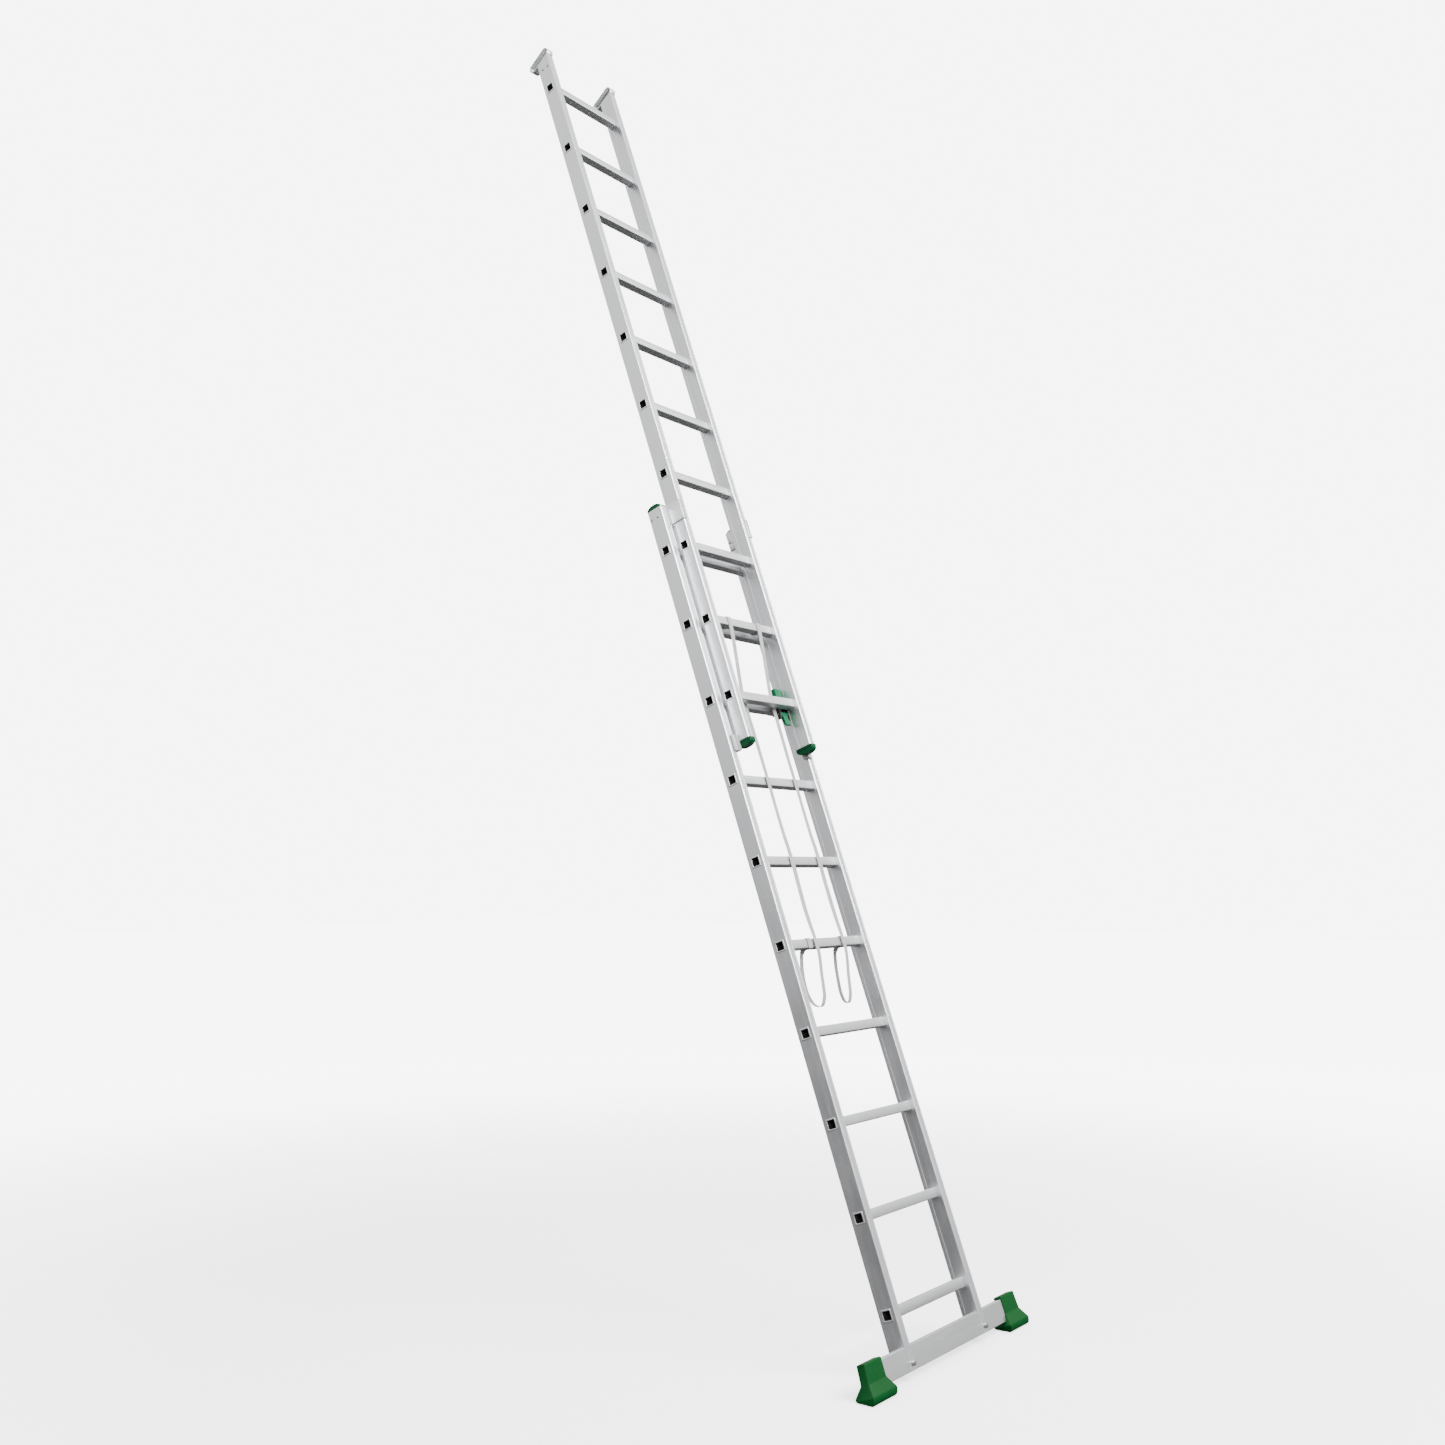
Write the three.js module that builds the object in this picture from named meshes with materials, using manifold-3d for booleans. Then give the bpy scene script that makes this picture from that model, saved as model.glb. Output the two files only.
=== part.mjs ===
// Two-section aluminium push-up extension ladder with a stabiliser bar, leaning at its working angle.
// Millimetres, +Z up, floor at z = 0. Everything is first laid out in the ladder's own frame,
// where X runs along the rungs, Y is square to the rung plane (towards the wall) and Z runs up the
// stiles from the centre of the base section's lowest rung, and is then tilted by the lean.
import * as THREE from 'three';
import { mergeVertices } from 'three/addons/utils/BufferGeometryUtils.js';
import Module from 'manifold-3d';

const wasm = await Module();
wasm.setup();

// ---- driving dimensions ----
const leanDeg = 19.5;
const fitGap = 0.3;

const rungCount = 10;
const rungPitch = 280;
const rungSize = 30;
const rungWall = 2;
const rungChamfer = 1.5;
const lipWidth = 3;
const lipThickness = 1.2;

const baseWidth = 480;
const sideClearance = 14;
const stileWidth = 30;
const stileDepth = 60;
const stileWall = 2;
const stileCorner = 2;
const stileBoreCorner = 1.5;
const grooveDepth = 0.8;
const grooveHalf = 1;
const endMargin = 160;

const nesting = 10;
const rungsBetween = 7;
const hookRise = 5;

const barHeight = 68;
const barDepth = 22;
const barWall = 2;
const barLength = 910;
const barBoltRise = 20;
const boltRadius = 4;
const boltHeadRadius = 7.5;
const boltHeadHeight = 9;
const nutHeight = 6.5;

const footSleeveWall = 3;
const footSleeveLength = 84;
const footEndWall = 11;
const footTopRise = 8;
const footWaistDrop = 46;
const footFrontFlare = 15;
const footRearFlare = 20;
const footInnerFlare = 17;
const footOuterFlare = 16;
const soleThickness = 25;

const capDome = 16;
const capRim = 4;
const plugDepth = 24;
const flyCapHeight = 26;
const flyCapOverhang = 3;
const flyCapGroove = 1.5;
const plugCorner = 1.5;

const bracketThickness = 2.5;
const bracketHeight = 74;
const bracketDrop = 66;
const bracketLip = 15;
const bracketInset = 3;
const bracketJoggle = 4;
const bracketRivetDrop = 33;
const rearRivetInset = 10;
const frontRivetInset = 23;
const runningGap = 0.8;
const rivetRadius = 2.4;
const rivetHeadRadius = 5;
const rivetHeadHeight = 2.4;

const shoeHeight = 56;
const shoeDrop = 34;
const shoeBody = 12;
const shoeRungGap = 2.5;
const shoeLap = 16;
const shoeLapThickness = 7;

const restLength = 108;
const restHeight = 34;
const restWall = 4.5;
const restTiltDeg = 19;
const restOverhang = 40;
const restTongue = 52;
const restRivetDrop = 34;
const restFrontInset = 13;
const restRearInset = 21;
const restTongueGap = 6;

const hookWidth = 53;
const hookCheek = 5;
const hookPlate = 5.5;
const hookRearDrop = 26;
const hookCheekDrop = 46;
const pinRadius = 3;
const pinDrop = 26;
const leverHub = 9;
const leverHandle = 45;
const leverPawl = 32;
const leverPlay = 1.3;
const leverHandleHalf = 14;
const pawlClearance = 5;
const padHeight = 52;

const strapWidth = 20;
const strapThickness = 1.6;
const strapSteps = 44;
const strapRungX = 84;

// ---- places worked out from them ----
const lean = THREE.MathUtils.degToRad(leanDeg);
const rungSpan = (rungCount - 1) * rungPitch;
const stileLength = rungSpan + 2 * endMargin;
const flyWidth = baseWidth - 2 * stileWidth - 2 * sideClearance;
const flyPlane = -(stileDepth - nesting);
const flyRise = rungsBetween * rungPitch + hookRise;
const stileFront = -stileDepth / 2;
const baseInner = baseWidth / 2 - stileWidth;
const flyInner = flyWidth / 2 - stileWidth;
const rungHalf = rungSize / 2;

const slotFront = stileFront + stileWall + 0.1;
const barFront = slotFront + fitGap;
const barMiddle = barFront + barDepth / 2;
const barBottom = -endMargin - fitGap;
const barTop = barBottom + barHeight;
const floorLevel = -barMiddle * Math.sin(lean) + barBottom * Math.cos(lean) - soleThickness;

const metal = { color: 0xc9cacb, roughness: 0.38, metalness: 0.9 };
const darkMetal = { color: 0x2a2c2e, roughness: 0.5, metalness: 0.6 };
const green = { color: 0x0a7a3c, roughness: 0.5, metalness: 0.0 };
const grey = { color: 0xa9abad, roughness: 0.55, metalness: 0.1 };
const zinc = { color: 0xb4b6b8, roughness: 0.3, metalness: 0.95 };
const webbing = { color: 0xb9b9b6, roughness: 0.9, metalness: 0.0 };

// ---- joining and cutting ----
function solid(geometry) {
  const bare = geometry.clone();
  bare.deleteAttribute('normal');
  bare.deleteAttribute('uv');
  const merged = mergeVertices(bare, 1e-4);
  return new wasm.Manifold(new wasm.Mesh({
    numProp: 3,
    vertProperties: new Float32Array(merged.attributes.position.array),
    triVerts: new Uint32Array(merged.index.array),
  }));
}

function geometryOf(body) {
  const mesh = body.getMesh();
  const geometry = new THREE.BufferGeometry();
  geometry.setAttribute('position', new THREE.BufferAttribute(mesh.vertProperties, 3));
  geometry.setIndex(new THREE.BufferAttribute(mesh.triVerts, 1));
  return geometry;
}

function joined(...geometries) {
  return geometryOf(geometries.map(solid).reduce((sum, next) => sum.add(next)));
}

function cut(geometry, tools) {
  return geometryOf(tools.map(solid).reduce((rest, tool) => rest.subtract(tool), solid(geometry)));
}

function common(first, second) {
  return geometryOf(solid(first).intersect(solid(second)));
}

function mirrored(geometry) {
  const copy = geometry.index ? geometry.clone() : mergeVertices(geometry.clone(), 1e-4);
  copy.scale(-1, 1, 1);
  const order = copy.index.array;
  for (let i = 0; i < order.length; i += 3) {
    [order[i], order[i + 1]] = [order[i + 1], order[i]];
  }
  return copy;
}

// ---- shapes ----
function box(x0, x1, y0, y1, z0, z1) {
  const geometry = new THREE.BoxGeometry(x1 - x0, y1 - y0, z1 - z0);
  return geometry.translate((x0 + x1) / 2, (y0 + y1) / 2, (z0 + z1) / 2);
}

function roundedRect(path, width, height, radius) {
  const w = width / 2;
  const h = height / 2;
  path.moveTo(-w + radius, -h);
  path.lineTo(w - radius, -h);
  path.absarc(w - radius, -h + radius, radius, -Math.PI / 2, 0);
  path.lineTo(w, h - radius);
  path.absarc(w - radius, h - radius, radius, 0, Math.PI / 2);
  path.lineTo(-w + radius, h);
  path.absarc(-w + radius, h - radius, radius, Math.PI / 2, Math.PI);
  path.lineTo(-w, -h + radius);
  path.absarc(-w + radius, -h + radius, radius, Math.PI, 1.5 * Math.PI);
  return path;
}

function extruded(shape, depth, curveSegments = 3) {
  return new THREE.ExtrudeGeometry(shape, { depth, bevelEnabled: false, curveSegments });
}

// a shape drawn in (Y, Z) and run along X from x0 to x1
function alongX(shape, x0, x1, curveSegments = 6) {
  const geometry = extruded(shape, x1 - x0, curveSegments);
  geometry.applyMatrix4(new THREE.Matrix4().set(
    0, 0, 1, x0,
    1, 0, 0, 0,
    0, 1, 0, 0,
    0, 0, 0, 1,
  ));
  return geometry;
}

// a shape drawn in (X, Z) and run along Y from y0 to y1
function alongY(shape, y0, y1, curveSegments = 6) {
  const geometry = extruded(shape, y1 - y0, curveSegments);
  geometry.rotateX(Math.PI / 2);
  return geometry.translate(0, y1, 0);
}

function outline(points) {
  return new THREE.Shape(points.map(([a, b]) => new THREE.Vector2(a, b)));
}

function disc(shape, y, z, radius) {
  shape.absarc(y, z, radius, 0, 2 * Math.PI);
  return shape;
}

function rod(radius, x0, x1, y, z, sides = 12) {
  const geometry = new THREE.CylinderGeometry(radius, radius, x1 - x0, sides);
  return geometry.rotateZ(Math.PI / 2).translate((x0 + x1) / 2, y, z);
}

function rodAlongY(radius, y0, y1, x, z, sides = 12) {
  const geometry = new THREE.CylinderGeometry(radius, radius, y1 - y0, sides);
  return geometry.translate(x, (y0 + y1) / 2, z);
}

// ---- rungs ----
function rungSection() {
  const c = rungChamfer;
  const shape = outline([
    [-rungHalf + c, -rungHalf], [rungHalf - c, -rungHalf], [rungHalf, -rungHalf + c], [rungHalf, rungHalf - c],
    [rungHalf - c, rungHalf], [-rungHalf + c, rungHalf], [-rungHalf, rungHalf - c], [-rungHalf, -rungHalf + c],
  ]);
  shape.holes.push(rungBore());
  return shape;
}

function rungBore() {
  const b = rungHalf - rungWall;
  return outline([[-b, -b], [-b, b], [b, b], [b, -b]]);
}

function rung(width, plane, height) {
  const end = width / 2 + fitGap;
  const lipShape = roundedRect(new THREE.Shape(), rungSize + 2 * lipWidth, rungSize + 2 * lipWidth, 4);
  lipShape.holes.push(rungBore());
  const tube = alongX(rungSection(), -end - lipThickness, end + lipThickness, 1);
  const rightLip = alongX(lipShape, end, end + lipThickness, 1);
  const leftLip = alongX(lipShape, -end - lipThickness, -end, 1);
  return joined(tube, rightLip, leftLip).translate(0, plane, height);
}

// ---- stiles ----
// right-hand section in (X, Y), centred on its own middle, with two front grooves and one inner groove
function stileSection() {
  const w = stileWidth / 2;
  const d = stileDepth / 2;
  const c = stileCorner;
  const shape = new THREE.Shape();
  shape.moveTo(-w + c, -d);
  for (const x of [-w / 2, w / 2]) {
    shape.lineTo(x - grooveHalf, -d);
    shape.lineTo(x, -d + grooveDepth);
    shape.lineTo(x + grooveHalf, -d);
  }
  shape.lineTo(w - c, -d);
  shape.absarc(w - c, -d + c, c, -Math.PI / 2, 0);
  shape.lineTo(w, d - c);
  shape.absarc(w - c, d - c, c, 0, Math.PI / 2);
  shape.lineTo(-w + c, d);
  shape.absarc(-w + c, d - c, c, Math.PI / 2, Math.PI);
  shape.lineTo(-w, d / 2 + grooveHalf);
  shape.lineTo(-w + grooveDepth, d / 2);
  shape.lineTo(-w, d / 2 - grooveHalf);
  shape.lineTo(-w, -d + c);
  shape.absarc(-w + c, -d + c, c, Math.PI, 1.5 * Math.PI);
  const bore = new THREE.Path();
  shape.holes.push(roundedRect(bore, stileWidth - 2 * stileWall, stileDepth - 2 * stileWall, stileBoreCorner));
  return shape;
}

function rungHoles(x0, x1) {
  const tools = [];
  const h = rungHalf + fitGap;
  for (let i = 0; i < rungCount; i += 1) {
    tools.push(box(x0 - 1, x1 + 1, -h, h, i * rungPitch - h, i * rungPitch + h));
  }
  return tools;
}

function baseStile() {
  const middle = baseWidth / 2 - stileWidth / 2;
  const body = extruded(stileSection(), stileLength, 1).translate(middle, 0, -endMargin);
  const tools = rungHoles(baseInner, baseWidth / 2);
  tools.push(box(baseInner - 1, baseWidth / 2 + 1, slotFront, barFront + barDepth + fitGap,
    -endMargin - 1, barTop + fitGap));
  tools.push(rodAlongY(boltRadius + fitGap, stileFront - 1, slotFront + 1, middle, barBottom + barBoltRise));
  for (const [y, z] of bracketRivets()) {
    tools.push(rod(rivetRadius + fitGap, baseInner - 1, baseWidth / 2 + 1, y, z));
  }
  return cut(body, tools);
}

function flyStile() {
  const middle = flyWidth / 2 - stileWidth / 2;
  const body = extruded(stileSection(), stileLength, 1).translate(middle, 0, -endMargin);
  const tools = rungHoles(flyInner, flyWidth / 2);
  for (const [y, z] of restRivets()) {
    tools.push(rod(rivetRadius + fitGap, flyWidth / 2 - stileWall - 1, flyWidth / 2 + 1, y, z));
  }
  const slant = restFrame(box(-stileWidth, stileWidth, -200, 200, -restHeight / 2 - fitGap, 200));
  tools.push(slant.translate(middle, 0, 0));
  return cut(body, tools).translate(0, flyPlane, flyRise);
}

// ---- caps ----
function plug(width, depth, z0, z1) {
  const inset = 2 * (stileWall + fitGap);
  const shape = roundedRect(new THREE.Shape(), width - inset, depth - inset, plugCorner);
  return extruded(shape, z1 - z0, 2).translate(0, 0, z0);
}

function baseTopCap() {
  const d = stileDepth / 2;
  const shape = new THREE.Shape();
  shape.moveTo(-d, 0);
  shape.lineTo(d, 0);
  shape.lineTo(d, capRim);
  shape.quadraticCurveTo(d * 0.7, capDome, 0, capDome);
  shape.quadraticCurveTo(-d * 0.7, capDome, -d, capRim);
  const dome = alongX(shape, -stileWidth / 2, stileWidth / 2, 8);
  const cap = joined(dome, plug(stileWidth, stileDepth, -plugDepth, 1));
  return cap.translate(baseWidth / 2 - stileWidth / 2, 0, stileLength - endMargin + fitGap);
}

function flyBottomCap() {
  const d = stileDepth / 2 + flyCapOverhang;
  const shape = new THREE.Shape();
  shape.moveTo(-d, 0);
  shape.lineTo(-d, -flyCapHeight * 0.45);
  shape.quadraticCurveTo(-d * 0.8, -flyCapHeight, 0, -flyCapHeight);
  shape.quadraticCurveTo(d * 0.8, -flyCapHeight, d, -flyCapHeight * 0.45);
  shape.lineTo(d, 0);
  const w = stileWidth / 2;
  const body = alongX(shape, -w, w, 8);
  const grooveZ = -flyCapHeight * 0.4;
  const groove = (x) => box(x - flyCapGroove, x + flyCapGroove, -d - 1, d + 1, grooveZ - 1.5, grooveZ + 1.5);
  const cap = cut(joined(body, plug(stileWidth, stileDepth, -1, plugDepth)), [groove(w), groove(-w)]);
  return cap.translate(flyWidth / 2 - w, flyPlane, flyRise - endMargin - fitGap);
}

// ---- stabiliser ----
function stabiliserBar() {
  const shape = roundedRect(new THREE.Shape(), barDepth, barHeight, 2.5);
  shape.holes.push(roundedRect(new THREE.Path(), barDepth - 2 * barWall, barHeight - 2 * barWall, 1.5));
  const body = alongX(shape, -barLength / 2, barLength / 2, 3).translate(0, barMiddle, barBottom + barHeight / 2);
  const boltX = baseWidth / 2 - stileWidth / 2;
  const hole = (x) => rodAlongY(boltRadius + fitGap, barFront - 1, barFront + barDepth + 1, x, barBottom + barBoltRise);
  return cut(body, [hole(boltX), hole(-boltX)]);
}

function stabiliserBolt() {
  const x = baseWidth / 2 - stileWidth / 2;
  const z = barBottom + barBoltRise;
  const headBack = stileFront - fitGap;
  const nutFront = barFront + barDepth + fitGap;
  return joined(
    rodAlongY(boltRadius, headBack - 1, nutFront + 1, x, z),
    rodAlongY(boltHeadRadius, headBack - boltHeadHeight, headBack, x, z, 6),
    rodAlongY(boltHeadRadius, nutFront, nutFront + nutHeight, x, z, 6),
  );
}

function floorAt(y) {
  return (floorLevel + y * Math.sin(lean)) / Math.cos(lean);
}

function stabiliserFoot() {
  const front = barFront - footSleeveWall;
  const back = barFront + barDepth + footSleeveWall;
  const top = barTop + footTopRise;
  const waist = barTop - footWaistDrop;
  const frontFlare = front - footFrontFlare;
  const backFlare = back + footRearFlare;
  const side = new THREE.Shape();
  side.moveTo(front + 4, top);
  side.quadraticCurveTo(front, top, front, top - 4);
  side.lineTo(front, waist);
  side.lineTo(frontFlare, waist - 32);
  side.quadraticCurveTo(frontFlare, floorAt(frontFlare) + 4, frontFlare + 12, floorAt(frontFlare + 12));
  side.lineTo(backFlare - 10, floorAt(backFlare - 10));
  side.quadraticCurveTo(backFlare, floorAt(backFlare), backFlare, waist - 28);
  side.lineTo(back, waist);
  side.lineTo(back, top - 4);
  side.quadraticCurveTo(back, top, back - 4, top);
  const outer = barLength / 2 + footEndWall;
  const inner = outer - footSleeveLength - footEndWall;
  const low = floorAt(frontFlare) - 10;
  const face = outline([
    [inner, top + 1], [inner, waist], [inner - footInnerFlare, waist - 34], [inner - footInnerFlare + 6, low],
    [outer + footOuterFlare, low], [outer + footOuterFlare, waist - 34], [outer, waist], [outer - 6, top + 1],
  ]);
  const body = common(
    alongX(side, inner - footInnerFlare - 1, outer + footOuterFlare + 1, 5),
    alongY(face, frontFlare - 1, backFlare + 1, 2),
  );
  const socket = box(inner - footInnerFlare - 2, barLength / 2 + fitGap, barFront - fitGap,
    barFront + barDepth + fitGap, barBottom - fitGap, barTop + fitGap);
  return cut(body, [socket]);
}

// ---- guides where the sections overlap ----
function bracketRivets() {
  const z = stileLength - endMargin - bracketRivetDrop;
  return [[stileDepth / 2 - rearRivetInset, z], [stileFront + frontRivetInset, z]];
}

function rivetAcross(x0, x1, y, z) {
  const head = (x, dir) => {
    const geometry = new THREE.CylinderGeometry(rivetHeadRadius * 0.6, rivetHeadRadius, rivetHeadHeight, 12);
    geometry.rotateZ(dir > 0 ? -Math.PI / 2 : Math.PI / 2);
    return geometry.translate(x + dir * rivetHeadHeight / 2, y, z);
  };
  return joined(rod(rivetRadius, x0 - 0.5, x1 + 0.5, y, z), head(x1, 1), head(x0, -1));
}

function guideRivet(index) {
  const [y, z] = bracketRivets()[index];
  return rivetAcross(baseInner - fitGap - bracketThickness - fitGap, baseWidth / 2 + fitGap, y, z);
}

function guideBracket() {
  const t = bracketThickness;
  const top = stileLength - endMargin;
  const plateOut = baseInner - fitGap;
  const webIn = flyWidth / 2 + 2 * fitGap + lipThickness + runningGap;
  const lipBack = flyPlane + stileFront - runningGap;
  const joggle = stileFront + 2;
  const rear = stileDepth / 2 - bracketInset;
  const bend = bracketJoggle;
  const shape = outline([
    [plateOut, rear], [plateOut - t, rear], [plateOut - t, joggle + bend], [webIn, joggle - bend],
    [webIn, lipBack], [webIn - bracketLip, lipBack], [webIn - bracketLip, lipBack - t],
    [webIn + t - 2, lipBack - t], [webIn + t, lipBack - t + 2], [webIn + t, joggle - bend - t * 0.4],
    [plateOut, joggle + bend - t * 0.4],
  ]);
  const body = extruded(shape, bracketHeight).translate(0, 0, top - bracketDrop);
  const tools = bracketRivets().map(([y, z]) => rod(rivetRadius + fitGap, plateOut - t - 1, plateOut + 1, y, z));
  return cut(body, tools);
}

function guideShoe() {
  const z0 = flyRise - endMargin - shoeDrop;
  const inside = flyWidth / 2 + fitGap;
  const outside = baseInner - runningGap;
  const lapBack = stileFront - runningGap;
  return joined(
    box(inside, outside, lapBack - shoeBody, -rungHalf - shoeRungGap, z0, z0 + shoeHeight),
    box(inside, baseInner + shoeLap, lapBack - shoeLapThickness, lapBack, z0, z0 + shoeHeight),
  );
}

// ---- wall rests at the top of the fly section ----
// puts a shape made round the rest's own middle in its place on the fly stile
function restFrame(geometry) {
  const reach = stileDepth / 2 + restOverhang - restLength / 2;
  geometry.rotateX(-THREE.MathUtils.degToRad(restTiltDeg));
  return geometry.translate(0, reach, rungSpan + endMargin - restHeight / 2);
}

function restRivets() {
  const z = rungSpan + endMargin - restHeight - restRivetDrop;
  return [[stileFront + restFrontInset, z], [stileDepth / 2 - restRearInset, z]];
}

function wallRest() {
  const middle = flyWidth / 2 - stileWidth / 2;
  const ring = roundedRect(new THREE.Shape(), restLength, restHeight, restHeight / 2 - 0.5);
  const hole = new THREE.Path();
  roundedRect(hole, restLength - 2 * restWall, restHeight - 2 * restWall, restHeight / 2 - restWall - 0.5);
  ring.holes.push(hole);
  const loop = restFrame(alongX(ring, -stileWidth / 2, stileWidth / 2, 4));
  const z1 = rungSpan + endMargin - restHeight / 2;
  const neckWidth = stileWidth - 2 * (stileWall + fitGap);
  const neckShape = roundedRect(new THREE.Shape(), neckWidth, stileDepth - 2 * restTongueGap, 2);
  const neck = extruded(neckShape, restHeight / 2 + restTongue, 2).translate(0, 0, z1 - restHeight / 2 - restTongue);
  const above = restFrame(box(-stileWidth, stileWidth, -200, 200, -restHeight / 2 + restWall / 2, 200));
  const tongue = cut(neck, [above]);
  const bores = restRivets().map(([y, z]) => rod(rivetRadius + fitGap, -2, stileWidth, y, z));
  return cut(joined(loop, tongue), bores).translate(middle, flyPlane, flyRise);
}

function restRivet(index) {
  const [y, z] = restRivets()[index];
  const outer = flyWidth / 2 + fitGap;
  const inner = flyWidth / 2 - stileWall - 8;
  const head = new THREE.CylinderGeometry(rivetHeadRadius * 0.6, rivetHeadRadius, rivetHeadHeight, 12);
  head.rotateZ(-Math.PI / 2).translate(outer + rivetHeadHeight / 2, y, z);
  return joined(rod(rivetRadius, inner, outer + 0.5, y, z), head).translate(0, flyPlane, flyRise);
}

// ---- rung hooks and their safety levers, at the fly section's lowest rung ----
const hookOuter = flyInner - 1.5;
const hookInner = hookOuter - hookWidth;
const gapFront = flyPlane + rungHalf + fitGap;
const gapBack = -rungHalf - fitGap;
const gapMiddle = (gapFront + gapBack) / 2;
const hookedRung = rungsBetween * rungPitch;
const hookUnder = hookedRung + rungHalf + fitGap;
const pinHeight = hookedRung - pinDrop;

function rungHook() {
  const cheekTop = hookUnder + hookPlate + 4;
  const cheekLow = hookedRung - hookCheekDrop;
  const cheekShape = outline([
    [gapFront, cheekTop], [gapFront, cheekLow + 6], [gapFront + 6, cheekLow], [gapBack - 5, cheekLow],
    [gapBack, cheekLow + 6], [gapBack, hookUnder], [gapBack + 8, hookUnder], [gapBack + 8, hookUnder + hookPlate],
    [gapBack, cheekTop],
  ]);
  const rear = rungHalf + fitGap;
  const saddle = outline([
    [gapBack + 0.5, hookUnder], [rear, hookUnder], [rear, hookUnder - hookRearDrop],
    [rear + 3, hookUnder - hookRearDrop - 3], [rear + hookPlate, hookUnder - hookRearDrop],
    [rear + hookPlate, hookUnder + hookPlate - 2], [rear + hookPlate - 2, hookUnder + hookPlate],
    [gapBack + 0.5, hookUnder + hookPlate],
  ]);
  const body = joined(
    alongX(cheekShape, hookInner, hookInner + hookCheek),
    alongX(cheekShape, hookOuter - hookCheek, hookOuter),
    alongX(saddle, hookInner, hookOuter),
  );
  return cut(body, [rod(pinRadius + fitGap, hookInner - 1, hookOuter + 1, gapMiddle, pinHeight)]);
}

function hookPad() {
  const low = hookUnder + hookPlate + fitGap;
  const high = hookUnder + padHeight;
  const front = gapFront;
  const back = gapBack + 1;
  const shape = outline([
    [front, low - 3], [gapBack - fitGap, low - 3], [gapBack - fitGap, low], [back, low], [back, high - 8],
    [back - 6, high], [front, high],
  ]);
  const inner = hookInner + hookCheek + fitGap;
  const outer = hookOuter - hookCheek - fitGap;
  return alongX(shape, inner, outer);
}

function leverPin() {
  return rod(pinRadius, hookInner + 0.2, hookOuter + 1, gapMiddle, pinHeight, 20);
}

function latchLever() {
  const pawlTop = hookedRung - rungHalf - pawlClearance;
  const hub = disc(new THREE.Shape(), gapMiddle, pinHeight, leverHub);
  const pawl = outline([
    [gapMiddle, pinHeight - 6], [gapMiddle + leverPawl - 6, pinHeight - 1], [gapMiddle + leverPawl, pinHeight + 4],
    [gapMiddle + leverPawl - 2, pawlTop], [gapMiddle, pawlTop],
  ]);
  const tip = pinHeight - leverHandle;
  const handle = new THREE.Shape();
  handle.moveTo(gapMiddle - 7, pinHeight);
  handle.lineTo(gapMiddle - 12, tip + 6);
  handle.quadraticCurveTo(gapMiddle - 13, tip, gapMiddle - 8, tip);
  handle.quadraticCurveTo(gapMiddle - 4, tip, gapMiddle - 3, tip + 7);
  handle.lineTo(gapMiddle + 5, pinHeight);
  const inner = hookInner + hookCheek + leverPlay;
  const outer = hookOuter - hookCheek - leverPlay;
  const middle = (inner + outer) / 2;
  const body = joined(
    alongX(hub, inner, outer, 10),
    alongX(pawl, inner + 4, outer - 4),
    alongX(handle, middle - leverHandleHalf, middle + leverHandleHalf),
  );
  return cut(body, [rod(pinRadius + fitGap, inner - 1, outer + 1, gapMiddle, pinHeight, 20)]);
}

// ---- straps that stop the sections spreading ----
function strapLoop(x) {
  const inner = rungSize + 2 * fitGap;
  const outer = inner + 2 * strapThickness;
  const shape = roundedRect(new THREE.Shape(), outer, outer, 3);
  shape.holes.push(roundedRect(new THREE.Path(), inner, inner, 1));
  const ring = alongX(shape, x - strapWidth / 2, x + strapWidth / 2, 3);
  return ring.translate(0, flyPlane, flyRise + rungPitch);
}

function strapSection() {
  const w = strapWidth / 2;
  const t = strapThickness / 2;
  return outline([[-w, -t / 2], [-w + 1, -t], [w - 1, -t], [w, -t / 2], [w, t / 2], [w - 1, t], [-w + 1, t], [-w, t / 2]]);
}

function strap(points) {
  const route = new THREE.CatmullRomCurve3(points.map((p) => new THREE.Vector3(...p)), false, 'centripetal');
  return new THREE.ExtrudeGeometry(strapSection(), { extrudePath: route, steps: strapSteps, bevelEnabled: false });
}

// both routes start at the sewn loop on the fly section's second rung and end behind the anchor rung
const leftStrapRoute = [
  [-84, -66.2, 2227], [-84, -62, 2190], [-84, -50, 2110], [-83, -37, 2030], [-82, -31, 1990],
  [-77, -26.5, 1945], [-69, -22.5, 1860], [-64, -19.6, 1760], [-63, -19, 1710], [-63, -19, 1650], [-62, -17.5, 1600],
  [-62, -17, 1540], [-62, -17.5, 1480], [-62, -19, 1440], [-62, -19, 1372], [-63, -17.5, 1320],
  [-65, -17, 1270], [-66, -17, 1230], [-65, -18, 1180], [-64, -19.4, 1150], [-64, -20, 1095],
  [-64, -15, 1060], [-65, -7, 1020], [-65, 0, 980], [-66, 8, 945],
  [-70, 24, 922], [-78, 42, 930], [-85, 52, 962], [-88, 52, 1005], [-92, 43, 1050],
  [-96, 31, 1082], [-98, 24, 1097],
];
const rightStrapRoute = [
  [84, -66.2, 2227], [84, -62, 2190], [84, -50, 2110], [85, -37, 2030], [86, -31, 1990],
  [91, -26.5, 1945], [95, -22.5, 1860], [97, -19.6, 1760], [98, -19, 1710], [98, -19, 1650], [99, -17.5, 1600],
  [99, -17, 1540], [99, -17.5, 1480], [99, -19, 1440], [99, -19, 1372], [99, -17.5, 1320],
  [99, -17, 1270], [99, -17, 1230], [99, -18, 1180], [99, -19.4, 1150], [99, -20, 1095],
  [99, -14, 1060], [98, -4, 1020], [98, 5, 980], [98, 14, 945],
  [97, 28, 923], [96, 40, 930], [96, 46, 958], [97, 43, 1000], [98, 37, 1045],
  [99, 29, 1080], [99, 24, 1096],
];

// ---- assembly ----
const ladder = new THREE.Group();

function add(name, geometry, finish) {
  const mesh = new THREE.Mesh(geometry, new THREE.MeshStandardMaterial(finish));
  mesh.name = name;
  ladder.add(mesh);
}

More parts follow.
